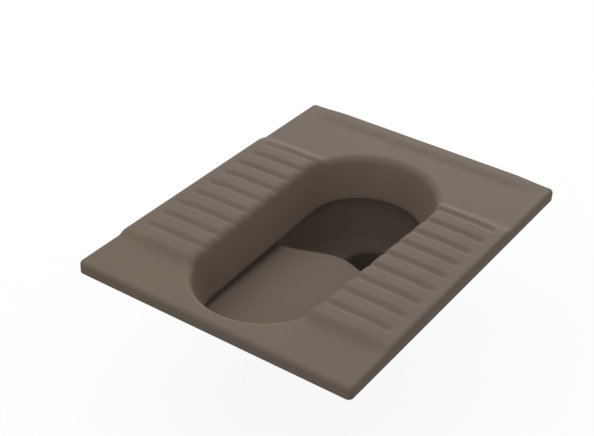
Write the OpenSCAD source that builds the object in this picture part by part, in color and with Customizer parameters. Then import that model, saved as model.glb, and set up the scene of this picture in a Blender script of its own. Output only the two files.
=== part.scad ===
// Squat toilet pan in vitreous china with rubber fittings. Millimetres, +Z up.
// +X is the user's right and +Y runs to the deep end. The origin is the middle of the base.

/* [Platform] */
// Length of the platform, front to back
deck_l = 580; // [520:1:700]
// Width of the platform
deck_w = 440; // [400:1:520]
// Height of the platform's top above the base
deck_h = 220; // [205:1:260]
// Thickness of the platform's wall
plate_t = 9; // [7:0.5:12]
// Visible height of the platform's edge
edge_h = 20; // [16:1:30]
// Thickness of the turned-down edge
skirt_t = 9; // [6:0.5:14]
// Corner radius of the platform in plan
corner_r = 8; // [8:1:30]
// Rounding of the platform's top edge
edge_r = 6; // [2:0.5:7]
// Rise of the soft ridge along the back edge
ridge_h = 2.7; // [0.5:0.1:4]
// Width of the ridge, from the platform's back edge
ridge_w = 43; // [32:1:50]
// Length of the slope up to the ridge
ridge_run = 24; // [15:1:30]
// From the platform's sides to where the ridge begins
ridge_end = 10; // [8:1:30]
// Run over which the ridge reaches its full rise
ridge_fade = 60; // [30:1:90]

/* [Mouth] */
// From the platform's front edge to the mouth
mouth_front = 28; // [26:1:50]
// From the platform's back edge to the mouth
mouth_back = 85; // [75:1:110]
// Radius of the mouth's front end
mouth_front_r = 94; // [80:1:100]
// Radius of the mouth's back end
mouth_back_r = 104; // [95:1:112]

/* [Footrests] */
// Rise of the footrests above the platform
pad_h = 8; // [4:0.5:12]
// From the platform's front edge to the footrests
pad_front = 82; // [60:1:110]
// Length of the footrests
pad_length = 360; // [300:1:380]
// Length of the step at the front of a footrest
pad_step = 14; // [8:1:25]
// Length of the ramp at the back of a footrest
pad_ramp = 26; // [10:1:30]
// Share of their rise that the footrests keep at the platform's side edge
pad_edge_share = 0.55; // [0.4:0.05:1]
// Width over which the footrests fall toward the side edge
pad_edge_run = 50; // [30:1:70]
// Grooves in each footrest
groove_n = 9; // [3:1:12]
// Distance from groove to groove
groove_pitch = 36; // [28:1:40]
// From the front of the footrest to its first groove
groove_start = 42; // [30:1:60]
// Width of a groove
groove_w = 19; // [10:1:24]
// Depth of a groove
groove_d = 3.5; // [1:0.5:5]
// From the platform's side edge to where a groove begins
groove_inset = 12; // [8:1:30]
// Run over which a groove reaches its full depth
groove_run = 16; // [8:1:40]

/* [Rim] */
// Depth of the rim's lower lip below the platform's top
rim_depth = 68; // [45:1:80]
// How far the rim leans in from the mouth to its lip
rim_inset = 15; // [6:1:20]
// Thickness of the rim at its lip
rim_t = 8; // [6:0.5:12]
// Thickness of the rim where it dies out at the front
rim_front_t = 4; // [3:0.5:6]
// Gap left where the rim comes down to the floor
rim_clear = 1.5; // [1:0.5:4]

/* [Bowl] */
// Flush channel beyond the mouth, at the sides and back
channel_back = 14; // [10:1:20]
// Flush channel beyond the mouth, at the front
channel_front = 5; // [5:0.5:10]
// Wall thickness of the bowl
bowl_t = 9; // [7:0.5:12]
// Depth of the floor at its front end
floor_front_depth = 73; // [50:1:80]
// Depth of the floor where it drops into the sump
floor_back_depth = 80; // [75:1:110]
// How much deeper the floor is at the walls than in the middle
floor_crown = 4; // [0:0.5:5]
// Depth of the sump's floor
sump_depth = 150; // [130:1:170]
// From the platform's back edge to the crest of the drop into the sump
crest_back = 260; // [235:1:270]
// How much further forward the crest lies at the sides than in the middle
crest_bulge = 22; // [0:1:40]
// From the middle to where the crest is furthest forward
crest_half_w = 85; // [60:1:95]
// Run of the drop into the sump
drop_run = 62; // [40:1:70]
// Run of the trough's side walls down to its floor
wall_run = 14; // [12:1:40]
// Run of the front wall down to the floor
front_run = 62; // [40:1:70]
// Angle from straight ahead within which the bowl's wall is the front wall
front_turn = 52; // [40:1:70]
// Angle over which the front wall turns into the side walls
front_blend = 17; // [10:1:30]
// Run of the sump's walls down to its floor
sump_run = 40; // [30:1:90]
// Run over which the trough's walls turn into the sump's
sump_blend = 100; // [60:1:120]

/* [Waste outlet] */
// Bore of the outlet
outlet_bore = 84; // [70:1:90]
// Outside diameter of the spigot
outlet_d = 100; // [90:1:104]
// From the platform's back edge to the outlet's centre
outlet_back = 152; // [140:1:165]
// Rounding from the sump's floor into the outlet
outlet_round = 16; // [10:1:24]
// Step from the sump's floor down to the spigot
outlet_step = 12; // [8:1:16]
// Step out from the spigot to the neck that carries the gasket
neck_step = 2; // [1:0.5:4]
// Width of the spigot's flange beyond the neck
flange_w = 6; // [4:1:12]
// Thickness of the spigot's flange
flange_t = 5; // [3:0.5:8]
// Width of the rubber gasket
gasket_w = 6; // [4:1:12]
// Thickness of the rubber gasket
gasket_t = 8; // [4:1:10]

/* [Flush inlet] */
// Depth of the inlet's centre below the platform's top
inlet_depth = 42; // [38:1:48]
// Outside diameter of the inlet horn
inlet_d = 54; // [50:1:58]
// Bore of the horn's socket
inlet_socket = 44; // [38:1:46]
// Bore of the horn behind its socket
inlet_bore = 36; // [30:1:40]
// Length of the horn's socket
socket_l = 32; // [20:1:34]
// Length of the horn
horn_l = 40; // [34:1:44]
// Diameter of the boss that carries the horn
boss_d = 58; // [54:1:62]
// Bore of the rubber seal, for a 32 mm flush pipe
pipe_d = 32; // [28:1:34]
// Thickness of the seal's outer flange
seal_flange_t = 3; // [2:0.5:5]
// Length of the seal inside the socket
seal_l = 26; // [16:1:30]

/* [Legs] */
// Top diameter of a leg
leg_top_d = 36; // [24:1:44]
// Foot diameter of a leg
leg_foot_d = 46; // [30:1:60]
// Distance between the legs' centres
leg_gap = 112; // [90:1:130]
// From the platform's front edge to the legs' centres
leg_front = 228; // [200:1:260]

/* [Hidden] */

// Overrun of cuts
over = 1;
// Facets on true circles
round_fn = 96;

glaze = "#786c61";
rubber = "#26262a";

// Steps round the outlines: each side, the back end and the front end
side_n = 18;
end_n = 28;
// Steps on each rounded edge
edge_n = 4;

// Half sizes and levels
half_l = deck_l / 2;
half_w = deck_w / 2;
under_z = deck_h - plate_t;

// The mouth is a tapered oval: two circles and the lines that touch both
front_c = mouth_front + mouth_front_r - half_l;
back_c = half_l - mouth_back - mouth_back_r;
mouth = [front_c, mouth_front_r, back_c, mouth_back_r];
// The bowl's wall follows the mouth, wider by the flush channel
bowl = [front_c, mouth_front_r + channel_front, back_c, mouth_back_r + channel_back];

// The wall leans in evenly from the mouth down to the rim's lip
lean = rim_inset / (rim_depth - plate_t);
lean_a = atan(lean);
// The mouth's rounding ends tangent to the leaning wall, at the plate's underside
mouth_r = plate_t / (1 - sin(lean_a));
mouth_flat = mouth_r * cos(lean_a);

// Footrest limits along Y, and where its grooves fade along X
pad_y0 = pad_front - half_l;
pad_y1 = pad_y0 + pad_length;
fade_x = half_w - groove_inset;

// Crest of the drop, and the seam between trough and sump where it is furthest forward
crest_y = half_l - crest_back;
seam_y = crest_y - crest_bulge;
// Where the trough's floor begins behind the front wall
floor_y0 = front_c - bowl[1] + front_run;
outlet_y = half_l - outlet_back;
outlet_r = outlet_bore / 2;
spigot_r = outlet_d / 2;
neck_r = spigot_r + neck_step;
outlet_z = deck_h - sump_depth - outlet_step;

// The horn sits on a boss that stands clear of the bowl's back wall
boss_y = back_c + bowl[3] + bowl_t + bowl_t;
horn_end = boss_y + horn_l;

function smooth(t) = let(c = min(max(t, 0), 1)) c * c * (3 - 2 * c);
function mix(a, b, t) = a + (b - a) * t;
function clamp01(t) = min(max(t, 0), 1);

// Sine and cosine of the taper of an oval [front centre, front radius, back centre, back radius]
function oval_b(o) = (o[3] - o[1]) / (o[2] - o[0]);
function oval_a(o) = sqrt(1 - oval_b(o) * oval_b(o));

// Distance of a point outside an oval, negative inside it
function oval_dist(o, x, y) =
    let(b = oval_b(o), a = oval_a(o), ax = abs(x), k = b * ax + a * (y - o[0]))
    k < 0 ? norm([ax, y - o[0]]) - o[1]
    : k > a * (o[2] - o[0]) ? norm([ax, y - o[2]]) - o[3]
    : a * ax - b * (y - o[0]) - o[1];

// Half width of an oval widened by off, at a place on its straight sides
function oval_half(o, off, y) = (o[1] + off + oval_b(o) * (y - o[0])) / oval_a(o);

function on_oval(c, r, t) = [r * cos(t), c + r * sin(t)];
function arc(c, r, a0, a1, n) = [for (i = [0:n - 1]) on_oval(c, r, mix(a0, a1, i / n))];
function line(p, q, n, first = 0) = [for (i = [first:n - 1]) mix(p, q, i / n)];

// Outline of an oval widened by off: right side, back end, left side, front end
function oval_ring(o, off) =
    let(ta = asin(oval_b(o)), r1 = o[1] + off, r2 = o[3] + off)
    concat(
        line(on_oval(o[0], r1, -ta), on_oval(o[2], r2, -ta), side_n),
        arc(o[2], r2, -ta, 180 + ta, end_n),
        line(on_oval(o[2], r2, 180 + ta), on_oval(o[0], r1, 180 + ta), side_n),
        arc(o[0], r1, 180 + ta, 360 - ta, end_n));

// Outline of the platform drawn in by inset, with the same number of steps in each stretch
corner_n = 4;
run_n = 4;
function corner(sx, sy, inset, a0) =
    let(r = corner_r - inset, cx = sx * (half_w - corner_r), cy = sy * (half_l - corner_r))
    [for (i = [0:corner_n - 1]) let(t = a0 + 90 * i / corner_n) [cx + r * cos(t), cy + r * sin(t)]];
function deck_ring(inset) =
    let(w = half_w - inset, l = half_l - inset, ex = half_w - corner_r, ey = half_l - corner_r,
        y0 = front_c, y1 = back_c, across_n = end_n - 2 * corner_n - 2 * run_n)
    concat(
        line([w, y0], [w, y1], side_n),
        line([w, y1], [w, ey], run_n),
        corner(1, 1, inset, 0),
        line([ex, l], [-ex, l], across_n),
        corner(-1, 1, inset, 90),
        line([-w, ey], [-w, y1], run_n),
        line([-w, y1], [-w, y0], side_n),
        line([-w, y0], [-w, -ey], run_n),
        corner(-1, -1, inset, 180),
        line([-ex, -l], [ex, -l], across_n),
        corner(1, -1, inset, 270),
        line([w, -ey], [w, y0], run_n));

// Platform top: flat but for the soft ridge along the back edge
function ridge(x, y) =
    ridge_h * smooth((y - half_l + ridge_w) / ridge_run) * smooth((half_w - ridge_end - abs(x)) / ridge_fade);

// Closed tube of rings: each ring is a list of points, and the last ring joins the first
function tube_faces(rows, n) =
    [for (k = [0:rows - 1], i = [0:n - 1])
        let(a = k * n + i, b = k * n + (i + 1) % n,
            c = ((k + 1) % rows) * n + (i + 1) % n, d = ((k + 1) % rows) * n + i)
        each [[a, b, c], [a, c, d]]];
module tube(rings) {
    polyhedron([for (r = rings) each r], tube_faces(len(rings), len(rings[0])), convexity = 8);
}

function flat(ring, z) = [for (p = ring) [p[0], p[1], z]];
function ridged(ring, z) = [for (p = ring) [p[0], p[1], z + ridge(p[0], p[1])]];

// Shares of the way from the mouth's edge to the platform's rounding
deck_shares = [0.12, 0.3, 0.5, 0.7, 0.85];

module deck_plate() {
    mouth_rings = [for (k = [0:edge_n])
        let(t = lean_a + (90 - lean_a) * k / edge_n)
        flat(oval_ring(mouth, mouth_flat - mouth_r * cos(t)), deck_h - mouth_r + mouth_r * sin(t))];
    inner = oval_ring(mouth, mouth_flat);
    outer = deck_ring(edge_r);
    top_rings = [for (s = deck_shares)
        ridged([for (i = [0:len(inner) - 1]) mix(inner[i], outer[i], s)], deck_h)];
    edge_rings = [for (k = [edge_n:-1:0])
        let(t = 90 * k / edge_n)
        ridged(deck_ring(edge_r - edge_r * cos(t)), deck_h - edge_r + edge_r * sin(t))];
    color(glaze) tube(concat(mouth_rings, top_rings, edge_rings, [flat(deck_ring(0), under_z)]));
}

module deck_skirt() {
    color(glaze)
    translate([0, 0, deck_h - edge_h])
    linear_extrude(edge_h - plate_t)
    difference() {
        rounded(half_w, half_l, corner_r);
        rounded(half_w - skirt_t, half_l - skirt_t, corner_r - skirt_t / 2);
    }
}

module rounded(w, l, r) {
    union() {
        square([2 * (w - r), 2 * l], center = true);
        square([2 * w, 2 * (l - r)], center = true);
        for (sx = [-1, 1], sy = [-1, 1])
            translate([sx * (w - r), sy * (l - r)]) circle(r, $fn = round_fn);
    }
}

// Grooves that fit between the step and the lower part of the ramp
groove_y0 = pad_y0 + max(groove_start, pad_step + groove_w / 2);
groove_fit = min(groove_n, floor((pad_y1 - 0.75 * pad_ramp - groove_w / 2 - groove_y0) / groove_pitch) + 1);

// Height of a footrest above the platform, before its grooves: it falls toward the side edge
function pad_rise(x, y) =
    pad_h * smooth((y - pad_y0) / pad_step) * smooth((pad_y1 - y) / pad_ramp)
    * mix(1, pad_edge_share, smooth((abs(x) - half_w + edge_r + pad_edge_run) / pad_edge_run));
function groove_at(y) =
    let(k = round((y - groove_y0) / groove_pitch), d = y - groove_y0 - k * groove_pitch)
    k < 0 || k > groove_fit - 1 || abs(d) > groove_w / 2 ? 0 : pow(cos(180 * d / groove_w), 2);
function pad_at(x, y) =
    let(h = pad_rise(x, y)) h - min(groove_d * groove_at(y) * smooth((fade_x - abs(x)) / groove_run), h / 2);

// Where the mouth's outline widened by off lies at a given Y
function oval_x(o, off, y) =
    let(b = oval_b(o), r1 = o[1] + off, r2 = o[3] + off)
    y < o[0] - r1 * b ? sqrt(max(r1 * r1 - pow(y - o[0], 2), 0))
    : y > o[2] - r2 * b ? sqrt(max(r2 * r2 - pow(y - o[2], 2), 0))
    : oval_half(o, off, y);

// Section of a footrest's top at one Y, from the mouth's wall to the platform's side.
// With rise 0 it is the platform's own surface, which the footrest lies on.
pad_shares = [0, 0.15, 0.4, 0.65, 0.85, 1];
function pad_section(y, rise) =
    let(x_in = oval_x(mouth, mouth_flat, y), x_out = half_w - edge_r,
        h_in = rise * pad_at(x_in, y), h_out = rise * pad_rise(x_out, y))
    concat(
        [[oval_x(mouth, 0, y), y, under_z]],
        [for (k = [0:edge_n - 1])
            let(t = lean_a + (90 - lean_a) * k / edge_n)
            [oval_x(mouth, mouth_flat - mouth_r * cos(t), y) + lean * h_in * (1 - k / edge_n), y,
             deck_h - mouth_r + mouth_r * sin(t) + h_in]],
        [for (s = pad_shares) let(x = mix(x_in, x_out, s)) [x, y, deck_h + rise * pad_at(x, y)]],
        [for (k = [edge_n - 1:-1:0])
            let(t = 90 * k / edge_n)
            [x_out + edge_r * cos(t), y, deck_h - edge_r + edge_r * sin(t) + h_out]],
        [[half_w, y, deck_h - edge_r]]);

step_shares = [0, 0.25, 0.5, 0.75];
groove_shares = [-0.5, -0.25, 0, 0.25, 0.5];
pad_ys = concat(
    [for (s = step_shares) pad_y0 + s * pad_step], [pad_y0 + pad_step],
    [for (k = [0:groove_fit - 1], s = groove_shares) groove_y0 + k * groove_pitch + s * groove_w],
    [for (k = [3:-1:0]) pad_y1 - step_shares[k] * pad_ramp]);

// Top and underside share their points along both sides and at both ends
module footrest() {
    rows = len(pad_ys);
    cols = len(pad_section(0, 1));
    points = [for (rise = [1, 0], y = pad_ys) each pad_section(y, rise)];
    function last(i) = i == 0 || i == rows - 1;
    function shut(i, j) = i * cols + (j == 1 ? 0 : j == cols - 2 ? cols - 1 : j);
    function top(i, j) = last(i) ? shut(i, j) : i * cols + j;
    function under(i, j) =
        last(i) || j < 2 || j > cols - 3 ? shut(i, j) : (rows + i) * cols + j;
    cells = [for (i = [0:rows - 2], j = [0:cols - 2]) each [
        [top(i, j), top(i + 1, j), top(i + 1, j + 1)], [top(i, j), top(i + 1, j + 1), top(i, j + 1)],
        [under(i, j), under(i + 1, j + 1), under(i + 1, j)],
        [under(i, j), under(i, j + 1), under(i + 1, j + 1)]]];
    polyhedron(points, [for (c = cells) if (c[0] != c[1] && c[1] != c[2] && c[2] != c[0]) c], convexity = 8);
}

module right_footrest() {
    color(glaze) footrest();
}

module left_footrest() {
    color(glaze) mirror([1, 0, 0]) footrest();
}

// Depth of the bowl's floor below the platform's top. With shell 0 it is the inside, and with
// shell bowl_t the outside, where the drop comes that much sooner.
function crest_at(x) = crest_y - crest_bulge * smooth(abs(x) / crest_half_w);
function floor_line(y) =
    mix(floor_front_depth, floor_back_depth, clamp01((y - floor_y0) / (crest_y - floor_y0)));
function floor_depth(x, y, shell) =
    let(drop = smooth((y - crest_at(x) + shell) / drop_run),
        crown = shell > 0 ? 0 : floor_crown * min(pow(x / bowl[1], 2), 1) * (1 - drop))
    mix(floor_line(y), sump_depth, drop) + crown + shell;

// The walls fall steeply from the platform's underside and ease into the floor. The front wall
// is longer and plainer, and keeps the bowl's front end low behind the platform's edge.
function front_share(x, y) = smooth((front_turn - atan2(abs(x), front_c - y)) / front_blend);
function wall_reach(x, y) =
    mix(wall_run, front_run, front_share(x, y)) + (sump_run - wall_run) * smooth((y - seam_y) / sump_blend);
function bowl_depth(x, y, shell) =
    let(d = shell - oval_dist(bowl, x, y), reach = wall_reach(x, y) + shell + shell / 3,
        wall = pow(1 - clamp01(d / reach), 3 - front_share(x, y)))
    plate_t + (floor_depth(x, y, shell) - plate_t) * (1 - wall);

// Height of the bowl's surface, which turns down into the round outlet
function bowl_z(x, y, shell) =
    let(r = norm([x, y - outlet_y]) - outlet_r - shell, s = 1 - clamp01(r / outlet_round))
    outlet_z + (deck_h - bowl_depth(x, y, shell) - outlet_z) * sqrt(1 - s * s);
function on_bowl(ring, shell) = [for (p = ring) [p[0], p[1], bowl_z(p[0], p[1], shell)]];

// How much of its full drop the rim keeps at a point of the mouth, so that it clears the floor
function rim_off(f) = mix(rim_front_t, rim_t, f) - rim_inset * f;
function rim_low(f) = mix(plate_t + rim_clear, rim_depth, f);
function rim_fits(p0, out, f) =
    let(p = p0 + out * rim_off(f)) rim_low(f) + rim_clear <= bowl_depth(p[0], p[1], 0);
function rim_seek(p0, out, lo, hi, n) =
    let(f = (lo + hi) / 2)
    n == 0 ? lo : rim_fits(p0, out, f) ? rim_seek(p0, out, f, hi, n - 1) : rim_seek(p0, out, lo, f, n - 1);
function rim_share(p0, out) = rim_fits(p0, out, 1) ? 1 : rim_seek(p0, out, 0, 1, 10);

lip_n = 4;
module rim_curtain() {
    r0 = oval_ring(mouth, 0);
    r1 = oval_ring(mouth, 1);
    sections = [for (i = [0:len(r0) - 1])
        let(out = r1[i] - r0[i], f = rim_share(r0[i], out), t = mix(rim_front_t, rim_t, f),
            low = rim_low(f), lip = min(t, low - plate_t) / 2)
        [for (q = concat([[0, plate_t], [rim_front_t, plate_t]],
                [for (k = [0:lip_n]) let(a = 360 - 180 * k / lip_n)
                    [rim_off(f) - t / 2 + t / 2 * cos(a), low - lip - lip * sin(a)]]))
            let(p = r0[i] + out * q[0]) [p[0], p[1], deck_h - q[1]]]];
    color(glaze) tube([for (k = [0:len(sections[0]) - 1]) [for (s = sections) s[k]]]);
}

// Distances in from the bowl's wall, as shares of its front radius
wall_shares = [0, 0.012, 0.03, 0.055, 0.085, 0.12, 0.16, 0.21, 0.28, 0.38, 0.55, 0.75, 0.9];
seam_n = 8;

// Open outline of the bowl's front part, widened by off: from the seam round the front and back
function trough_ring(off) =
    let(ta = asin(oval_b(bowl)), r = bowl[1] + off, x = oval_half(bowl, off, seam_y),
        p = on_oval(bowl[0], r, -ta), m = on_oval(bowl[0], r, 180 + ta))
    concat(
        line([x, seam_y], p, seam_n),
        arc(bowl[0], r, -ta, ta - 180, end_n),
        line(m, [-x, seam_y], seam_n), [[-x, seam_y]]);

module trough() {
    inner = [for (s = wall_shares) on_bowl(trough_ring(-s * bowl[1]), 0)];
    outer = [for (s = wall_shares) on_bowl(trough_ring(bowl_t - s * bowl[1]), bowl_t)];
    rows = len(wall_shares);
    n = len(inner[0]);
    half = (n - 1) / 2;
    sheet = [for (k = [0:rows - 2], i = [0:n - 2])
        let(a = k * n + i, b = a + 1, c = b + n, d = a + n) each [[a, c, b], [a, d, c]]];
    spine = [for (i = [0:half - 1])
        let(a = (rows - 1) * n + i, b = a + 1, c = (rows - 1) * n + n - 2 - i, d = c + 1)
        each b == c ? [[a, d, b]] : [[a, c, b], [a, d, c]]];
    inside = concat(sheet, spine);
    m = rows * n;
    outside = [for (f = inside) [f[0] + m, f[2] + m, f[1] + m]];
    brim = [for (i = [0:n - 2]) each [[i, i + 1, m + i + 1], [i, m + i + 1, m + i]]];
    // Both ends of each ring lie on the seam, and so does the strip between the last two
    seam = [for (k = [0:rows - 2])
        let(a = k * n, b = a + n, c = a + n - 1, d = b + n - 1)
        each [[a, m + a, m + b], [a, m + b, b], [c, m + d, m + c], [c, d, m + d]]];
    e = (rows - 1) * n;
    g = rows * n - 1;
    middle = [[e, m + e, m + g], [e, m + g, g]];
    color(glaze)
    polyhedron([for (r = concat(outer, inner)) each r], concat(inside, outside, brim, seam, middle),
        convexity = 8);
}

// Outline of the bowl's back part, widened by off: across the seam, then round the back end
function sump_ring(off) =
    let(ta = asin(oval_b(bowl)), r = bowl[3] + off, x = oval_half(bowl, off, seam_y),
        xs = [for (s = wall_shares) oval_half(bowl, off - s * bowl[1], seam_y)], m = len(xs),
        p = on_oval(bowl[2], r, -ta), q = on_oval(bowl[2], r, 180 + ta))
    concat(
        [for (k = [0:m - 1]) [-xs[k], seam_y]],
        [for (k = [m - 1:-1:0]) [xs[k], seam_y]],
        line([x, seam_y], p, seam_n, 1),
        arc(bowl[2], r, -ta, 180 + ta, end_n),
        line(q, [-x, seam_y], seam_n));

// Shares of the way from the sump's outline to the outlet
sump_shares = [0, 0.012, 0.035, 0.07, 0.12, 0.18, 0.26, 0.35,
    0.45, 0.55, 0.65, 0.74, 0.82, 0.89, 0.94, 0.975, 1];
function to_outlet(ring, r, s) =
    [for (p = ring)
        let(v = [p[0], p[1] - outlet_y], q = [0, outlet_y] + v * r / norm(v)) mix(p, q, s)];

module sump() {
    outer = [for (s = sump_shares) on_bowl(to_outlet(sump_ring(bowl_t), outlet_r + bowl_t, s), bowl_t)];
    back_shares = [for (k = [len(sump_shares) - 1:-1:0]) sump_shares[k]];
    inner = [for (s = back_shares) on_bowl(to_outlet(sump_ring(0), outlet_r, s), 0)];
    back = back_c + bowl[3];
    color(glaze)
    difference() {
        union() {
            tube(concat(outer, inner));
            translate([0, back - bowl_t / 3, deck_h - inlet_depth])
                rotate([-90, 0, 0]) cylinder(d = boss_d, h = boss_y - back + bowl_t / 3, $fn = round_fn);
        }
        translate([0, back - 2 * bowl_t, deck_h - inlet_depth])
            rotate([-90, 0, 0])
                cylinder(d = inlet_bore, h = boss_y - back + 2 * bowl_t + over, $fn = round_fn);
    }
}

module ring(r0, r1, h) {
    difference() {
        cylinder(r = r1, h = h, $fn = round_fn);
        translate([0, 0, -over]) cylinder(r = r0, h = h + 2 * over, $fn = round_fn);
    }
}

module outlet_spigot() {
    color(glaze)
    translate([0, outlet_y, 0])
    difference() {
        union() {
            cylinder(r = spigot_r, h = outlet_z, $fn = round_fn);
            translate([0, 0, outlet_z - flange_t - gasket_t])
                cylinder(r = neck_r, h = gasket_t + flange_t, $fn = round_fn);
            translate([0, 0, outlet_z - flange_t])
                cylinder(r = neck_r + flange_w, h = flange_t, $fn = round_fn);
        }
        translate([0, 0, -over]) cylinder(r = outlet_r, h = outlet_z + 2 * over, $fn = round_fn);
    }
}

// The gasket hugs the neck under the flange
module outlet_gasket() {
    color(rubber)
    translate([0, outlet_y, outlet_z - flange_t - gasket_t]) ring(neck_r, neck_r + gasket_w, gasket_t);
}

// The horn's axis runs along Y from the boss
module on_horn(y) {
    translate([0, y, deck_h - inlet_depth]) rotate([-90, 0, 0]) children();
}

module inlet_horn() {
    color(glaze)
    on_horn(boss_y)
    difference() {
        cylinder(d = inlet_d, h = horn_l, $fn = round_fn);
        translate([0, 0, -over]) cylinder(d = inlet_bore, h = horn_l + 2 * over, $fn = round_fn);
        translate([0, 0, horn_l - socket_l]) cylinder(d = inlet_socket, h = socket_l + over, $fn = round_fn);
    }
}

// The seal fills the mouth of the socket and covers the horn's end
module inlet_seal() {
    color(rubber)
    on_horn(horn_end - seal_l)
    difference() {
        union() {
            cylinder(d = inlet_socket, h = seal_l, $fn = round_fn);
            translate([0, 0, seal_l]) cylinder(d = inlet_d, h = seal_flange_t, $fn = round_fn);
        }
        translate([0, 0, -over])
            cylinder(d = pipe_d, h = seal_l + seal_flange_t + 2 * over, $fn = round_fn);
    }
}

// A leg stands under the trough, cut to the slope of its underside
leg_y = leg_front - half_l;
floor_slope = atan((floor_back_depth - floor_front_depth) / (crest_y - floor_y0));
module leg(side) {
    top_z = deck_h - floor_line(leg_y) - bowl_t;
    color(glaze)
    difference() {
        translate([side * leg_gap / 2, leg_y, 0])
            cylinder(d1 = leg_foot_d, d2 = leg_top_d, h = top_z + leg_top_d / 4, $fn = round_fn);
        translate([side * leg_gap / 2, leg_y, top_z])
            rotate([-floor_slope, 0, 0])
                translate([-leg_foot_d, -leg_foot_d, 0])
                    cube([2 * leg_foot_d, 2 * leg_foot_d, leg_foot_d]);
    }
}

module left_leg() {
    leg(-1);
}

module right_leg() {
    leg(1);
}

deck_plate();
deck_skirt();
left_footrest();
right_footrest();
rim_curtain();
trough();
sump();
outlet_spigot();
outlet_gasket();
inlet_horn();
inlet_seal();
left_leg();
right_leg();
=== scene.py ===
import bpy
import numpy as np
from mathutils import Matrix, Vector


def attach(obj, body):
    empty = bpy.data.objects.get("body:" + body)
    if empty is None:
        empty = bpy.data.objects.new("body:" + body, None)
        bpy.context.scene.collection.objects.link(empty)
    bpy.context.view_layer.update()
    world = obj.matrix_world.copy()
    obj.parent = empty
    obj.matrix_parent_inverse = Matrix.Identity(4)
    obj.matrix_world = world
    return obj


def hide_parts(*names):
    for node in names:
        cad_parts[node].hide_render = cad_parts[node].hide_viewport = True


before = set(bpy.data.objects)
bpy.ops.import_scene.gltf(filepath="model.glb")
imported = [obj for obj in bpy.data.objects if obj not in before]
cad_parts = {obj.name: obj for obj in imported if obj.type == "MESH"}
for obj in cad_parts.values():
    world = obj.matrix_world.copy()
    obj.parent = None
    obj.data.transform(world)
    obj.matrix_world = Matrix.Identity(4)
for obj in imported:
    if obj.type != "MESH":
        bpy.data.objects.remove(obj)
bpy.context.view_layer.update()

# The platform is the top of one china casting: a plate with a rounded, turned-down edge, two ribbed footrests and a
# mouth whose edge rolls over into the rim that hangs inside the bowl. The footrests are raised in the same mould,
# so plate, edge, footrests and rim are one skin here. It stands on its edge on the floor round it.
PLATE_LENGTH, PLATE_WIDTH, PLATE_TOP = 0.580, 0.440, 0.220
PLATE_WALL, EDGE_HEIGHT, EDGE_WALL = 0.009, 0.020, 0.009
PLATE_CORNER, EDGE_ROUND, EDGE_FOOT_ROUND = 0.008, 0.006, 0.003
RIDGE_RISE, RIDGE_WIDTH, RIDGE_RUN, RIDGE_END, RIDGE_FADE = 0.0027, 0.043, 0.024, 0.010, 0.060
HALF_LENGTH, HALF_WIDTH = PLATE_LENGTH / 2, PLATE_WIDTH / 2
# The mouth is a tapered oval: front centre and radius, back centre and radius
MOUTH = (-0.168, 0.094, 0.101, 0.104)
FOOTREST_FRONT, FOOTREST_BACK, FOOTREST_RISE = -0.208, 0.152, 0.008
FOOTREST_STEP, FOOTREST_RAMP = 0.014, 0.026
# Toward the platform's edge the footrests fall to this share of their rise, over this width
FOOTREST_EDGE_SHARE, FOOTREST_EDGE_RUN = 0.55, 0.050
GROOVE_COUNT, GROOVE_PITCH, GROOVE_FIRST = 9, 0.036, -0.166
GROOVE_WIDTH, GROOVE_DEPTH, GROOVE_END, GROOVE_RUN = 0.019, 0.0035, 0.208, 0.016
# The rim leans in over its full depth, and its lip stays clear of the bowl's floor
RIM_DEPTH, RIM_LEAN_IN, RIM_WALL, RIM_FRONT_WALL, RIM_CLEAR = 0.068, 0.015, 0.008, 0.004, 0.0015
# The rim drops only as far as the bowl lets it, so the bowl's sizes stand here too. The bowl's brim is a tapered oval
# like the mouth, wider by the flush channel
BOWL = (-0.168, 0.099, 0.101, 0.118)
BOWL_WALL = 0.009
FLOOR_START_DEPTH, FLOOR_END_DEPTH, FLOOR_CROWN = 0.073, 0.080, 0.004
SUMP_DEPTH, DROP_RUN = 0.150, 0.062
# The drop starts along a crest that bulges back in the middle. At the sides it is further forward by the bulge
CREST, CREST_BULGE, CREST_HALF_WIDTH = 0.030, 0.022, 0.085
# How far in the walls reach the floor. Behind the seam with the trough the sump's run takes over, within the blend,
# and the outside's run is longer by this share of the wall
TROUGH_WALL_RUN, FRONT_WALL_RUN, SUMP_WALL_RUN = 0.014, 0.062, 0.040
SEAM, SUMP_WALL_BLEND, OUTSIDE_RUN_SHARE = 0.008, 0.100, 4 / 3
# The front wall's run holds up to this turn from straight ahead, less the blend
FRONT_WALL_TURN, FRONT_WALL_BLEND = np.radians((52, 17))
FLOOR_START = BOWL[0] - BOWL[1] + FRONT_WALL_RUN


def ease(t):
    """Rises from 0 to 1 with level ends: three t squared less two t cubed, held at both ends."""
    c = np.clip(t, 0, 1)
    return c * c * (3 - 2 * c)


def oval_distance(oval, x, y):
    """Distance outside a tapered oval, two circles and the lines that touch both, and negative inside it."""
    y1, r1, y2, r2 = oval
    lean = (r2 - r1) / (y2 - y1)
    level = np.sqrt(1 - lean * lean)
    side = np.abs(x)
    along = lean * side + level * (y - y1)
    front = np.hypot(side, y - y1) - r1
    back = np.hypot(side, y - y2) - r2
    flank = level * side - lean * (y - y1) - r1
    return np.where(along < 0, front, np.where(along > level * (y2 - y1), back, flank))


def crowded(start, end, count, places, width=0.06, gain=6, samples=4000):
    """Values from start to end, closer together near the places: even steps of a running sum, whose summand is one
    plus the gain times a bell curve of that width at each place."""
    t = np.linspace(start, end, samples)
    crowd = 1 + gain * sum(np.exp(-((t - p) / width) ** 2) for p in places)
    total = np.concatenate([[0], np.cumsum((crowd[1:] + crowd[:-1]) / 2)])
    return np.interp(np.linspace(0, total[-1], count, endpoint=False), total, t)


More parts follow.
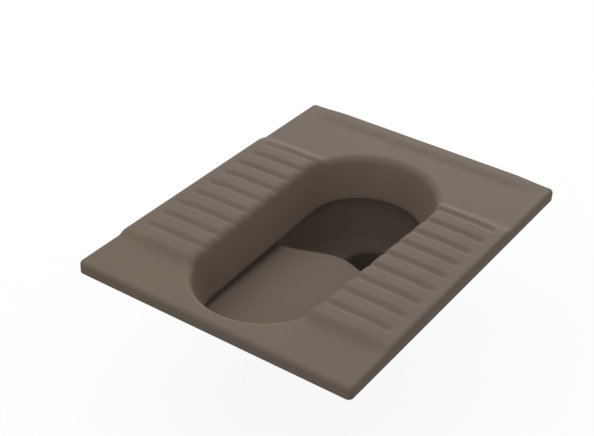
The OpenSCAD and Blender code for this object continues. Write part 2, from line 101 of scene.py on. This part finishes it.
def oval_rays(oval, side_count, end_count):
    """Rays that cross an oval squarely, counter-clockwise from the right flank: foot on the centre line, radius,
    and direction. The flanks share one slant, and the rays crowd where they meet the platform's corners."""
    y1, r1, y2, r2 = oval
    slant = np.arcsin((r2 - r1) / (y2 - y1))
    back_corner = np.arctan2(HALF_LENGTH - y2, HALF_WIDTH)
    front_corner = np.arctan2(HALF_LENGTH + y1, HALF_WIDTH)
    up = np.linspace(0, 1, side_count, endpoint=False)
    back = crowded(-slant, np.pi + slant, end_count, (back_corner, np.pi - back_corner))
    front = crowded(np.pi + slant, 2 * np.pi - slant, end_count, (np.pi + front_corner, 2 * np.pi - front_corner))
    turn = np.concatenate([np.full(side_count, -slant), back, np.full(side_count, np.pi + slant), front])
    place = np.concatenate([up, np.ones(end_count), 1 - up, np.zeros(end_count)])
    foot = y1 + (y2 - y1) * place
    radius = r1 + (r2 - r1) * place
    return foot, radius, np.cos(turn), np.sin(turn)


def on_rays(rays, offset):
    """Plan of an oval widened by offset, on its rays."""
    foot, radius, nx, ny = rays
    return (radius + offset) * nx, foot + (radius + offset) * ny


def platform_plan(rays, inset, corner):
    """Plan of the platform drawn in by inset: where each ray leaves a rectangle with round corners, which is at a
    side, at an end, or on the circle of a corner."""
    foot, _, nx, ny = rays
    wide, long = HALF_WIDTH - inset, HALF_LENGTH - inset
    with np.errstate(divide="ignore"):
        to_side = wide / np.abs(nx)
        to_end = (np.where(ny > 0, long, -long) - foot) / ny
    cx, cy = np.sign(nx) * (wide - corner), np.sign(ny) * (long - corner)
    middle = nx * cx + ny * (cy - foot)
    gap = middle ** 2 - cx ** 2 - (cy - foot) ** 2 + corner ** 2
    to_corner = middle + np.sqrt(np.maximum(gap, 0))
    on_side = np.abs(foot + to_side * ny) <= long - corner
    on_end = np.abs(to_end * nx) <= wide - corner
    reach = np.where(on_side, to_side, np.where(on_end, to_end, to_corner))
    return reach * nx, foot + reach * ny


def footrest_rise(x, y):
    """Height of the footrests above the plate: a step up in front, a ramp down behind, and lower at the edge."""
    edge = ease((np.abs(x) - HALF_WIDTH + EDGE_ROUND + FOOTREST_EDGE_RUN) / FOOTREST_EDGE_RUN)
    return (FOOTREST_RISE * ease((y - FOOTREST_FRONT) / FOOTREST_STEP)
            * ease((FOOTREST_BACK - y) / FOOTREST_RAMP) * (1 - (1 - FOOTREST_EDGE_SHARE) * edge))


def footrest_height(x, y):
    """The footrests' rise less their grooves, each a squared cosine across that fades out before the edge and takes
    at most half of the rise."""
    nearest = np.clip(np.round((y - GROOVE_FIRST) / GROOVE_PITCH), 0, GROOVE_COUNT - 1)
    across = y - GROOVE_FIRST - nearest * GROOVE_PITCH
    groove = np.where(np.abs(across) < GROOVE_WIDTH / 2, np.cos(np.pi * across / GROOVE_WIDTH) ** 2, 0)
    rise = footrest_rise(x, y)
    return rise - np.minimum(GROOVE_DEPTH * groove * ease((GROOVE_END - np.abs(x)) / GROOVE_RUN), rise / 2)


def back_ridge(x, y):
    """Height of the soft ridge along the back edge: eased up toward the edge, and out toward both corners."""
    return (RIDGE_RISE * ease((y - HALF_LENGTH + RIDGE_WIDTH) / RIDGE_RUN)
            * ease((HALF_WIDTH - RIDGE_END - np.abs(x)) / RIDGE_FADE))


def floor_depth(x, y, wall):
    """Depth of the bowl's floor below the platform: a straight fall, then an eased drop behind the crest. The inside
    is crowned as far as the drop: it falls to both sides as the square of the way across."""
    crest = CREST - CREST_BULGE * ease(np.abs(x) / CREST_HALF_WIDTH)
    drop = ease((y - crest + wall) / DROP_RUN)
    fall = np.clip((y - FLOOR_START) / (CREST - FLOOR_START), 0, 1)
    line = FLOOR_START_DEPTH + (FLOOR_END_DEPTH - FLOOR_START_DEPTH) * fall
    crown = FLOOR_CROWN * np.minimum((x / BOWL[1]) ** 2, 1) * (1 - drop) if wall == 0 else 0
    return line + (SUMP_DEPTH - line) * drop + crown + wall


def bowl_depth(x, y, wall):
    """Depth of the bowl below the platform. Under the plate it is the floor's depth times one less the cube of the
    share of the walls' run that is still to go. The front wall takes the square instead, over a longer run."""
    front = ease((FRONT_WALL_TURN - np.arctan2(np.abs(x), BOWL[0] - y)) / FRONT_WALL_BLEND)
    run = (TROUGH_WALL_RUN + (FRONT_WALL_RUN - TROUGH_WALL_RUN) * front
           + (SUMP_WALL_RUN - TROUGH_WALL_RUN) * ease((y - SEAM) / SUMP_WALL_BLEND) + wall * OUTSIDE_RUN_SHARE)
    inside = np.clip((wall - oval_distance(BOWL, x, y)) / run, 0, 1)
    return PLATE_WALL + (floor_depth(x, y, wall) - PLATE_WALL) * (1 - (1 - inside) ** (3 - front))


def closed_skin(name, x, y, z, sharp=0.7):
    """A mesh from a grid of points whose rows and columns both close on themselves, with its faces turned out. Edges
    that bend by more than sharp, in radians, are shaded as creases."""
    rows, columns = x.shape
    points = np.stack([x, y, z], -1).reshape(-1, 3)
    i, j = np.meshgrid(np.arange(rows), np.arange(columns), indexing="ij")
    down, right = (i + 1) % rows, (j + 1) % columns
    faces = np.stack([i * columns + j, i * columns + right, down * columns + right, down * columns + j], -1)
    faces = faces.reshape(-1, 4)
    a, b, c, d = (points[faces[:, k]] for k in range(4))
    if np.einsum("ij,ij->", a + b + c + d, np.cross(c - a, d - b)) < 0:
        faces = faces[:, ::-1]
    mesh = bpy.data.meshes.new(name)
    mesh.vertices.add(len(points))
    mesh.vertices.foreach_set("co", points.astype(np.float32).ravel())
    mesh.loops.add(faces.size)
    mesh.loops.foreach_set("vertex_index", faces.astype(np.int32).ravel())
    mesh.polygons.add(len(faces))
    mesh.polygons.foreach_set("loop_start", np.arange(0, faces.size, 4, dtype=np.int32))
    mesh.update(calc_edges=True)
    mesh.shade_smooth()
    mesh.set_sharp_from_angle(angle=sharp)
    skin = bpy.data.objects.new(name, mesh)
    bpy.context.scene.collection.objects.link(skin)
    return skin


def keep_bare(skin, values):
    """Keeps a number at every point of a skin for its finish to read: 0 where it is glazed and 1 where it is bare."""
    kept = skin.data.attributes.new("bare", "FLOAT", "POINT")
    kept.data.foreach_set("value", np.asarray(values, np.float32).ravel())


# The mouth's rounding goes from the level plate to the leaning face of the rim within the plate's wall
RIM_SLOPE = RIM_LEAN_IN / (RIM_DEPTH - PLATE_WALL)
RIM_ANGLE = np.arctan(RIM_SLOPE)
MOUTH_ROUND = PLATE_WALL / (1 - np.sin(RIM_ANGLE))
MOUTH_FLAT = MOUTH_ROUND * np.cos(RIM_ANGLE)

rays = oval_rays(MOUTH, side_count=200, end_count=250)


def rim_section(share):
    """The rim where it keeps a share of its full drop: offset of its back face, thickness and depth of its lip. Each
    grows evenly with the share."""
    thick = RIM_FRONT_WALL + (RIM_WALL - RIM_FRONT_WALL) * share
    low = PLATE_WALL + RIM_CLEAR + (RIM_DEPTH - PLATE_WALL - RIM_CLEAR) * share
    return thick - RIM_LEAN_IN * share, thick, low


# The rim drops as far as the bowl's floor lets it: its share is halved toward the largest that clears
HALVINGS = 24
low_share, high_share = np.zeros_like(rays[0]), np.ones_like(rays[0])
for _ in range(HALVINGS):
    share = (low_share + high_share) / 2
    back_face, _, low = rim_section(share)
    clears = low + RIM_CLEAR <= bowl_depth(*on_rays(rays, back_face), 0)
    low_share, high_share = np.where(clears, share, low_share), np.where(clears, high_share, share)
back_face, rim_wall, rim_low = rim_section(low_share)
lip = np.minimum(rim_wall, rim_low - PLATE_WALL) / 2

# Rows of the skin over each round, over the plate, at the edge's foot outside and inside, and up the rim's face
ROUND_ROWS, PLATE_ROWS, FOOT_ROWS, INNER_FOOT_ROWS, FACE_ROWS = 9, 38, 6, 4, 16
# Shares of the way in under the plate, and of the way down the rim's back
UNDERSIDE_PARTS, RIM_BACK_PARTS = (0, 0.5, 0.9, 1), (0.15, 0.4, 0.7, 1)
skin_rows = []
for turn in np.linspace(RIM_ANGLE, np.pi / 2, ROUND_ROWS):
    # The mouth's rounding, lifted by the footrests along the wall's lean
    offset = MOUTH_FLAT - MOUTH_ROUND * np.cos(turn)
    x, y = on_rays(rays, offset)
    lift = footrest_height(*on_rays(rays, MOUTH_FLAT))
    x, y = on_rays(rays, offset + RIM_SLOPE * lift)
    skin_rows.append((x, y, PLATE_TOP - MOUTH_ROUND * (1 - np.sin(turn)) + lift))
inner = on_rays(rays, MOUTH_FLAT + RIM_SLOPE * lift)
outer = platform_plan(rays, EDGE_ROUND, PLATE_CORNER - EDGE_ROUND)
for part in np.linspace(0, 1, PLATE_ROWS)[1:-1]:
    # Out over the plate, with its ridge and footrests
    x, y = (inner[k] + (outer[k] - inner[k]) * part for k in (0, 1))
    skin_rows.append((x, y, PLATE_TOP + back_ridge(x, y) + footrest_height(x, y)))
for turn in np.linspace(np.pi / 2, 0, ROUND_ROWS):
    # The rounded top of the platform's edge
    inset = EDGE_ROUND * (1 - np.cos(turn))
    x, y = platform_plan(rays, inset, PLATE_CORNER - inset)
    skin_rows.append((x, y, PLATE_TOP - EDGE_ROUND * (1 - np.sin(turn)) + footrest_rise(x, y) + back_ridge(x, y)))
foot_z = PLATE_TOP - EDGE_HEIGHT
for turn in np.linspace(0, np.pi / 2, FOOT_ROWS):
    # The rounded foot of the edge, first outside and then inside
    inset = EDGE_FOOT_ROUND * (1 - np.cos(turn))
    x, y = platform_plan(rays, inset, PLATE_CORNER - inset)
    skin_rows.append((x, y, foot_z + EDGE_FOOT_ROUND * (1 - np.sin(turn)) + 0 * x))
first_bare = len(skin_rows)
for turn in np.linspace(np.pi / 2, 0, INNER_FOOT_ROWS):
    inset = EDGE_WALL - EDGE_FOOT_ROUND * (1 - np.cos(turn))
    x, y = platform_plan(rays, inset, PLATE_CORNER - EDGE_WALL / 2)
    skin_rows.append((x, y, foot_z + EDGE_FOOT_ROUND * (1 - np.sin(turn)) + 0 * x))
under_z = PLATE_TOP - PLATE_WALL
outer = platform_plan(rays, EDGE_WALL, PLATE_CORNER - EDGE_WALL / 2)
inner = on_rays(rays, RIM_FRONT_WALL)
for part in UNDERSIDE_PARTS:
    x, y = (outer[k] + (inner[k] - outer[k]) * part for k in (0, 1))
    skin_rows.append((x, y, under_z + 0 * x))
last_bare = len(skin_rows)
for part in RIM_BACK_PARTS:
    # Down the back of the rim
    x, y = on_rays(rays, RIM_FRONT_WALL + (back_face - RIM_FRONT_WALL) * part)
    skin_rows.append((x, y, under_z - (rim_low - lip - PLATE_WALL) * part))
for turn in np.linspace(0, np.pi, ROUND_ROWS)[1:]:
    # Round the rim's lip
    x, y = on_rays(rays, back_face - rim_wall / 2 + rim_wall / 2 * np.cos(turn))
    skin_rows.append((x, y, PLATE_TOP - (rim_low - lip) - lip * np.sin(turn)))
fall = rim_low - lip - PLATE_WALL
extra = (rim_wall - back_face - RIM_SLOPE * fall) / fall
for part in np.linspace(1, 0, FACE_ROWS)[1:-1]:
    # Up the face of the rim, which leans out evenly into the mouth's rounding
    down = fall * part
    x, y = on_rays(rays, -(RIM_SLOPE + extra * part) * down)
    skin_rows.append((x, y, under_z - down))
x, y, z = (np.array([row[k] for row in skin_rows]) for k in range(3))
platform = closed_skin("platform", x, y, z)
bare = np.zeros_like(z)
bare[first_bare:last_bare] = 1
keep_bare(platform, bare)

GLAZE_COLOUR = (0.196, 0.153, 0.118)
BARE_COLOUR = (0.60, 0.56, 0.49)
# Noise scales in waves a metre, the span of noise values that the tones spread over, the swing of the roughness, the
# roughness of bare china, and the height of the relief
BROAD_SCALE, FINE_SCALE, RELIEF_SCALE = 14, 900, 110
BROAD_SPAN, FINE_SPAN = (0.3, 0.7), (0.25, 0.75)
ROUGH_SWING, BARE_ROUGH, RELIEF_HEIGHT = 0.03, (0.75, 0.85), 0.0005


def finish(name, colour, rough, gloss, patches, grain, bump, bare_colour=None):
    """A finish on Object coordinates. Its colour is scaled by one plus or minus the patches and the grain, its
    roughness swings with the patches, and a soft noise gives its bump. Where a skin's bare value is 1 it shows the
    unglazed body's colour, and is at least as rough as bare china."""
    made = bpy.data.materials.new(name)
    made.use_nodes = True
    nodes, links = made.node_tree.nodes, made.node_tree.links
    shader = nodes["Principled BSDF"]
    shader.inputs["Specular IOR Level"].default_value = gloss
    place = nodes.new("ShaderNodeTexCoord").outputs["Object"]

    def noise(scale, detail):
        made_noise = nodes.new("ShaderNodeTexNoise")
        made_noise.inputs["Scale"].default_value = scale
        made_noise.inputs["Detail"].default_value = detail
        links.new(place, made_noise.inputs["Vector"])
        return made_noise.outputs["Fac"]

    def ramp(value, span, dark, light):
        made_ramp = nodes.new("ShaderNodeMapRange")
        links.new(value, made_ramp.inputs["Value"])
        for key, number in zip(("From Min", "From Max", "To Min", "To Max"), (*span, dark, light)):
            made_ramp.inputs[key].default_value = number
        return made_ramp.outputs["Result"]

    def product(a, b):
        times = nodes.new("ShaderNodeMath")
        times.operation = "MULTIPLY"
        links.new(a, times.inputs[0])
        links.new(b, times.inputs[1])
        return times.outputs["Value"]

    def mixed(factor, first, second):
        blend = nodes.new("ShaderNodeMix")
        blend.data_type = "RGBA"
        links.new(factor, blend.inputs["Factor"])
        for socket, value in ((blend.inputs[6], first), (blend.inputs[7], second)):
            if isinstance(value, tuple):
                socket.default_value = (*value, 1)
            else:
                links.new(value, socket)
        return blend.outputs[2]

    broad, fine = noise(BROAD_SCALE, 3), noise(FINE_SCALE, 2)
    level = product(ramp(broad, BROAD_SPAN, 1 - patches, 1 + patches), ramp(fine, FINE_SPAN, 1 - grain, 1 + grain))
    tone = nodes.new("ShaderNodeVectorMath")
    tone.operation = "SCALE"
    links.new(level, tone.inputs["Scale"])
    roughness = ramp(broad, BROAD_SPAN, rough - ROUGH_SWING, rough + ROUGH_SWING)
    if bare_colour is None:
        tone.inputs[0].default_value = colour
    else:
        bare = nodes.new("ShaderNodeAttribute")
        bare.attribute_name = "bare"
        links.new(mixed(bare.outputs["Fac"], colour, bare_colour), tone.inputs[0])
        rougher = nodes.new("ShaderNodeMath")
        rougher.operation = "MAXIMUM"
        links.new(roughness, rougher.inputs[0])
        links.new(product(bare.outputs["Fac"], ramp(fine, (0, 1), *BARE_ROUGH)), rougher.inputs[1])
        roughness = rougher.outputs["Value"]
    links.new(tone.outputs["Vector"], shader.inputs["Base Color"])
    links.new(roughness, shader.inputs["Roughness"])
    relief = nodes.new("ShaderNodeBump")
    relief.inputs["Strength"].default_value = bump
    relief.inputs["Distance"].default_value = RELIEF_HEIGHT
    links.new(noise(RELIEF_SCALE, 2), relief.inputs["Height"])
    links.new(relief.outputs["Normal"], shader.inputs["Normal"])
    return made


satin_glaze = finish("satin_glaze", GLAZE_COLOUR, rough=0.52, gloss=0.08, patches=0.035, grain=0.03, bump=0.10,
                     bare_colour=BARE_COLOUR)
platform.data.materials.append(satin_glaze)
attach(platform, "root")
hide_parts("deck_plate", "deck_skirt", "left_footrest", "right_footrest", "rim_curtain")

# The bowl is cast with the platform: a trough that slopes down from the front, then a deep sump that turns down into
# the round outlet. Its inside is glazed, and its outside is bare china, hidden in the mortar bed.
OUTLET_Y, OUTLET_RADIUS, OUTLET_TOP, OUTLET_ROUND = 0.138, 0.042, 0.058, 0.016
# The rows cross this band square to the brim, closest together at the brim, before they turn to the outlet
WALL_BAND, WALL_CROWDING = 0.024, 1.5
bowl_rays = oval_rays(BOWL, side_count=110, end_count=160)


def bowl_height(x, y, wall):
    """Height of the bowl's skin, which rounds over into the outlet as a quarter of an ellipse."""
    near = 1 - np.clip((np.hypot(x, y - OUTLET_Y) - OUTLET_RADIUS - wall) / OUTLET_ROUND, 0, 1)
    return OUTLET_TOP + (PLATE_TOP - bowl_depth(x, y, wall) - OUTLET_TOP) * np.sqrt(np.maximum(1 - near ** 2, 0))


def bowl_side(wall, wall_rows, floor_rows):
    """Rows of one side of the bowl: squarely in from the brim over the walls, then straight to the outlet, closer
    together at both ends of that way as a half turn's cosine."""
    made = []
    for part in np.linspace(0, 1, wall_rows):
        x, y = on_rays(bowl_rays, wall - WALL_BAND * part ** WALL_CROWDING)
        made.append((x, y, bowl_height(x, y, wall)))
    away = np.hypot(x, y - OUTLET_Y)
    target = OUTLET_RADIUS + wall
    end_x, end_y = x / away * target, OUTLET_Y + (y - OUTLET_Y) / away * target
    for part in (1 - np.cos(np.pi * np.linspace(0, 1, floor_rows)[1:])) / 2:
        px, py = x + (end_x - x) * part, y + (end_y - y) * part
        made.append((px, py, bowl_height(px, py, wall)))
    return made


inside = bowl_side(0, wall_rows=26, floor_rows=72)
outside = bowl_side(BOWL_WALL, wall_rows=20, floor_rows=64)
x, y, z = (np.array([row[k] for row in inside + outside[::-1]]) for k in range(3))
bowl = closed_skin("bowl", x, y, z)
keep_bare(bowl, np.repeat([0, 1], [len(inside), len(outside)])[:, None] + 0 * x)
bowl.data.materials.append(satin_glaze)
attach(bowl, "root")
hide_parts("trough", "sump")

# The waste spigot is a china tube luted under the sump. It drops into the soil pipe's socket, and its flange carries
# the rubber gasket. Its bore is glazed, and the rest is bare, as on the other hidden fittings.


def turned(name, profile, axis, centre, columns=144):
    """A ring turned on a wheel: a closed profile of (radius, place along the axis) carried round that axis."""
    around = np.linspace(0, 2 * np.pi, columns, endpoint=False)
    radius, along = (np.array([p[k] for p in profile])[:, None] for k in (0, 1))
    a, b, c = radius * np.cos(around), radius * np.sin(around), along + 0 * around
    if axis == "up":
        return closed_skin(name, centre[0] + a, centre[1] + b, centre[2] + c)
    return closed_skin(name, centre[0] + a, centre[1] + c, centre[2] + b)


def rounded_profile(corners, radius, steps=4, shortest=2.1):
    """A closed profile with each corner rounded: its two cut points, joined by a quadratic curve that the corner
    pulls. They lie the radius away from it, or a side's length divided by shortest where that is less."""
    points, corners = [], np.array(corners, float)
    for k in range(len(corners)):
        here, before, after = corners[k], corners[k - 1], corners[(k + 1) % len(corners)]
        to_before, to_after = before - here, after - here
        cut = min(radius, np.hypot(*to_before) / shortest, np.hypot(*to_after) / shortest)
        start = here + to_before / np.hypot(*to_before) * cut
        end = here + to_after / np.hypot(*to_after) * cut
        for t in np.linspace(0, 1, steps + 1):
            points.append((1 - t) ** 2 * start + 2 * t * (1 - t) * here + t ** 2 * end)
    return points


SPIGOT_RADIUS, NECK_RADIUS, FLANGE_RADIUS = 0.050, 0.052, 0.058
GASKET_BOTTOM, FLANGE_BOTTOM, CHINA_ROUND = 0.045, 0.053, 0.0015
# Points this near the bore count as its wall, which is glazed
BORE_WALL = 0.0004
bare_china = finish("bare_china", BARE_COLOUR, rough=0.78, gloss=0.3, patches=0.05, grain=0.06, bump=0.35)
spigot = turned("spigot", rounded_profile([
    (OUTLET_RADIUS, 0), (SPIGOT_RADIUS, 0), (SPIGOT_RADIUS, GASKET_BOTTOM), (NECK_RADIUS, GASKET_BOTTOM),
    (NECK_RADIUS, FLANGE_BOTTOM), (FLANGE_RADIUS, FLANGE_BOTTOM), (FLANGE_RADIUS, OUTLET_TOP),
    (OUTLET_RADIUS, OUTLET_TOP)], CHINA_ROUND), "up", (0, OUTLET_Y, 0))
spigot_radius = np.hypot(*np.array([[v.co.x, v.co.y - OUTLET_Y] for v in spigot.data.vertices]).T)
keep_bare(spigot, spigot_radius > OUTLET_RADIUS + BORE_WALL)
spigot.data.materials.append(satin_glaze)
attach(spigot, "root")
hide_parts("outlet_spigot")

# The gasket is a moulded rubber ring round the spigot's neck. Its ribs, a cosine in section, bite in the mouth of the
# socket that the spigot drops into.
RUBBER_COLOUR = (0.020, 0.020, 0.022)
RIB_COUNT, RIB_SWING, GASKET_HEIGHT = 3, 0.0006, 0.008
black_rubber = finish("black_rubber", RUBBER_COLOUR, rough=0.6, gloss=0.4, patches=0.1, grain=0.1, bump=0.2)
ribs = [(FLANGE_RADIUS - RIB_SWING + RIB_SWING * np.cos(2 * np.pi * RIB_COUNT * h / GASKET_HEIGHT), GASKET_BOTTOM + h)
        for h in np.linspace(RIB_SWING, GASKET_HEIGHT - RIB_SWING, 33)]
rib_foot = FLANGE_RADIUS - 2 * RIB_SWING
gasket = turned("gasket", [(NECK_RADIUS, GASKET_BOTTOM), (rib_foot, GASKET_BOTTOM), *ribs,
                           (rib_foot, FLANGE_BOTTOM), (NECK_RADIUS, FLANGE_BOTTOM)], "up", (0, OUTLET_Y, 0))
gasket.data.materials.append(black_rubber)
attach(gasket, "root")
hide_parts("outlet_gasket")

# The flush inlet is a china horn on a boss behind the bowl, under the wide back margin. The boss is drawn out of the
# bowl's back wall and flares into it. The horn is luted to the boss and has a wider socket at its mouth.
INLET_Z, BOSS_FACE, SOCKET_FLOOR, HORN_END = 0.178, 0.237, 0.245, 0.277
INLET_BORE, SOCKET_RADIUS, HORN_RADIUS, BOSS_RADIUS = 0.018, 0.022, 0.027, 0.029
BOSS_ROUND, BOSS_NECK, BOSS_FOOT, BOSS_FLARE = 0.001, 0.228, 0.214, 0.007
# The flare widens as the square of the way from the boss's neck to its foot
boss_flare = [(BOSS_RADIUS + BOSS_FLARE * t ** 2, BOSS_NECK + (BOSS_FOOT - BOSS_NECK) * t)
              for t in np.linspace(0, 1, 9)]
boss = turned("inlet_boss", [(INLET_BORE, BOSS_FACE), (BOSS_RADIUS - BOSS_ROUND, BOSS_FACE),
                             (BOSS_RADIUS, BOSS_FACE - BOSS_ROUND), *boss_flare, (INLET_BORE, BOSS_FOOT)],
              "back", (0, 0, INLET_Z))
horn = turned("inlet_horn", rounded_profile([
    (INLET_BORE, BOSS_FACE), (HORN_RADIUS, BOSS_FACE), (HORN_RADIUS, HORN_END), (SOCKET_RADIUS, HORN_END),
    (SOCKET_RADIUS, SOCKET_FLOOR), (INLET_BORE, SOCKET_FLOOR)], CHINA_ROUND), "back", (0, 0, INLET_Z))
for piece in (boss, horn):
    piece.data.materials.append(bare_china)
    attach(piece, "root")
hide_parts("inlet_horn")

# The seal is a rubber sleeve that fills the horn's socket and folds over its end. The flush pipe pushes into it.
PIPE_RADIUS, PIPE_LEAD, SEAL_START, SEAL_END, SEAL_ROUND = 0.016, 0.0015, 0.251, 0.280, 0.001
seal = turned("inlet_seal", rounded_profile([
    (PIPE_RADIUS, SEAL_START), (SOCKET_RADIUS, SEAL_START), (SOCKET_RADIUS, HORN_END), (HORN_RADIUS, HORN_END),
    (HORN_RADIUS, SEAL_END), (PIPE_RADIUS + PIPE_LEAD, SEAL_END), (PIPE_RADIUS, HORN_END)], SEAL_ROUND),
    "back", (0, 0, INLET_Z))
seal.data.materials.append(black_rubber)
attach(seal, "root")
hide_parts("inlet_seal")

# Two china legs under the trough hold it level with the spigot's end. Each is a tapered stub with a rounded foot,
# luted to the trough's underside, where it flares a little.
LEG_X, LEG_Y, LEG_TOP_RADIUS, LEG_FOOT_RADIUS, FOOT_ROUND, FOOT_BEVEL = 0.056, -0.062, 0.018, 0.023, 0.002, 0.0006
# The flare starts this far below the trough's underside, ends this far inside its wall, and widens by this
FLARE_BELOW, FLARE_INSIDE, FLARE_WIDTH = 0.008, 0.004, 0.004
# The profile stops just short of the leg's axis
AXIS_GAP = 0.0002
leg_top = PLATE_TOP - BOWL_WALL - (FLOOR_START_DEPTH + (FLOOR_END_DEPTH - FLOOR_START_DEPTH)
                                   * (LEG_Y - FLOOR_START) / (CREST - FLOOR_START))
taper = [(LEG_FOOT_RADIUS + (LEG_TOP_RADIUS - LEG_FOOT_RADIUS) * t,
          FOOT_ROUND + (leg_top - FLARE_BELOW - FOOT_ROUND) * t) for t in np.linspace(0, 1, 12)]
leg_flare = [(LEG_TOP_RADIUS + FLARE_WIDTH * t ** 2, leg_top - FLARE_BELOW + (FLARE_BELOW + FLARE_INSIDE) * t)
             for t in np.linspace(0, 1, 7)[1:]]
leg_profile = [(AXIS_GAP, 0), (LEG_FOOT_RADIUS - FOOT_ROUND, 0), (LEG_FOOT_RADIUS - FOOT_BEVEL, FOOT_BEVEL),
               *taper, *leg_flare, (AXIS_GAP, leg_top + FLARE_INSIDE)]
for side, name in ((-1, "left_leg"), (1, "right_leg")):
    leg = turned(name + "_stub", leg_profile, "up", (side * LEG_X, LEG_Y, 0))
    leg.data.materials.append(bare_china)
    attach(leg, "root")
    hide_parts(name)

# The pan stands on a plain pale studio floor. To the camera the floor and the air are white, and the floor keeps a
# faint shadow. Three soft boxes light the pan, the strongest from behind.
FLOOR_REACH = 12.0
# Grey of the floor as the light meets it, then grey and glow of the floor as it is seen, and the strength of the air
FLOOR_GREY, SEEN_GREY, SEEN_GLOW, AIR_STRENGTH = 0.1, 0.12, 0.9, 0.52
WHITE = (1, 1, 1, 1)
floor_mesh = bpy.data.meshes.new("studio_floor")
floor_mesh.from_pydata([(-FLOOR_REACH, -FLOOR_REACH, 0), (FLOOR_REACH, -FLOOR_REACH, 0),
                        (FLOOR_REACH, FLOOR_REACH, 0), (-FLOOR_REACH, FLOOR_REACH, 0)], [], [(0, 1, 2, 3)])
studio_floor = bpy.data.objects.new("studio_floor", floor_mesh)
bpy.context.scene.collection.objects.link(studio_floor)


def seen_directly(nodes, links):
    """1 for camera, mirror and see-through rays, and 0 for the rays that only carry light."""
    path = nodes.new("ShaderNodeLightPath")
    total = path.outputs["Is Camera Ray"]
    for other in ("Is Glossy Ray", "Is Transmission Ray"):
        larger = nodes.new("ShaderNodeMath")
        larger.operation = "MAXIMUM"
        links.new(total, larger.inputs[0])
        links.new(path.outputs[other], larger.inputs[1])
        total = larger.outputs["Value"]
    return total


pale_floor = bpy.data.materials.new("pale_floor")
pale_floor.use_nodes = True
nodes, links = pale_floor.node_tree.nodes, pale_floor.node_tree.links
nodes.remove(nodes["Principled BSDF"])
matt, faint = nodes.new("ShaderNodeBsdfDiffuse"), nodes.new("ShaderNodeBsdfDiffuse")
glow = nodes.new("ShaderNodeEmission")
matt.inputs["Color"].default_value = (FLOOR_GREY, FLOOR_GREY, FLOOR_GREY, 1)
faint.inputs["Color"].default_value = (SEEN_GREY, SEEN_GREY, SEEN_GREY, 1)
glow.inputs["Strength"].default_value = SEEN_GLOW
both, choice = nodes.new("ShaderNodeAddShader"), nodes.new("ShaderNodeMixShader")
links.new(faint.outputs["BSDF"], both.inputs[0])
links.new(glow.outputs["Emission"], both.inputs[1])
links.new(seen_directly(nodes, links), choice.inputs["Fac"])
links.new(matt.outputs["BSDF"], choice.inputs[1])
links.new(both.outputs["Shader"], choice.inputs[2])
links.new(choice.outputs["Shader"], nodes["Material Output"].inputs["Surface"])
floor_mesh.materials.append(pale_floor)

air = bpy.data.worlds.new("studio_air")
air.use_nodes = True
nodes, links = air.node_tree.nodes, air.node_tree.links
dim = nodes["Background"]
dim.inputs["Color"].default_value = WHITE
dim.inputs["Strength"].default_value = AIR_STRENGTH
white = nodes.new("ShaderNodeBackground")
white.inputs["Color"].default_value = WHITE
choice = nodes.new("ShaderNodeMixShader")
links.new(seen_directly(nodes, links), choice.inputs["Fac"])
links.new(dim.outputs["Background"], choice.inputs[1])
links.new(white.outputs["Background"], choice.inputs[2])
links.new(choice.outputs["Shader"], nodes["World Output"].inputs["Surface"])
bpy.context.scene.world = air


def soft_box(name, size, power, place, target=(0, 0, 0.2)):
    """A square studio softbox that faces its target, which is the pan unless it says otherwise."""
    lamp = bpy.data.lights.new(name, "AREA")
    lamp.shape, lamp.size, lamp.energy = "SQUARE", size, power
    box = bpy.data.objects.new(name, lamp)
    box.location = place
    box.rotation_euler = (Vector(target) - Vector(place)).to_track_quat("-Z", "Y").to_euler()
    bpy.context.scene.collection.objects.link(box)


soft_box("back_key", size=2.6, power=46, place=(-0.9, 3.50, 1.75))
soft_box("overhead", size=2.0, power=10, place=(-0.9, 0.0, 2.0))
soft_box("front_fill", size=1.4, power=10, place=(0.4, -2.6, 0.8))

# The camera stands where the photograph was taken from: in front, to the right and above, with a long lens.
CAMERA_AZIMUTH, CAMERA_ELEVATION, CAMERA_ROLL = np.radians((32.764, 33.200, 2.868))
CAMERA_TARGET, CAMERA_DISTANCE = np.array([-0.06088, 0.00675, 0.200]), 1.87887
FOCAL_PIXELS, PICTURE_PIXELS, SENSOR_WIDTH = 1276.32, 594, 36
lens = bpy.data.cameras.new("lens")
lens.sensor_width, lens.lens = SENSOR_WIDTH, FOCAL_PIXELS * SENSOR_WIDTH / PICTURE_PIXELS
back = np.array([np.sin(CAMERA_AZIMUTH) * np.cos(CAMERA_ELEVATION),
                 -np.cos(CAMERA_AZIMUTH) * np.cos(CAMERA_ELEVATION), np.sin(CAMERA_ELEVATION)])
level = np.cross([0, 0, 1], back)
level /= np.linalg.norm(level)
tall = np.cross(back, level)
right = level * np.cos(CAMERA_ROLL) + tall * np.sin(CAMERA_ROLL)
up = tall * np.cos(CAMERA_ROLL) - level * np.sin(CAMERA_ROLL)
stand = CAMERA_TARGET + back * CAMERA_DISTANCE
camera = bpy.data.objects.new("camera", lens)
camera.matrix_world = Matrix([*np.stack([right, up, back, stand], 1).tolist(), [0, 0, 0, 1]])
bpy.context.scene.collection.objects.link(camera)
bpy.context.scene.camera = camera
bpy.context.scene.view_settings.view_transform = "Standard"
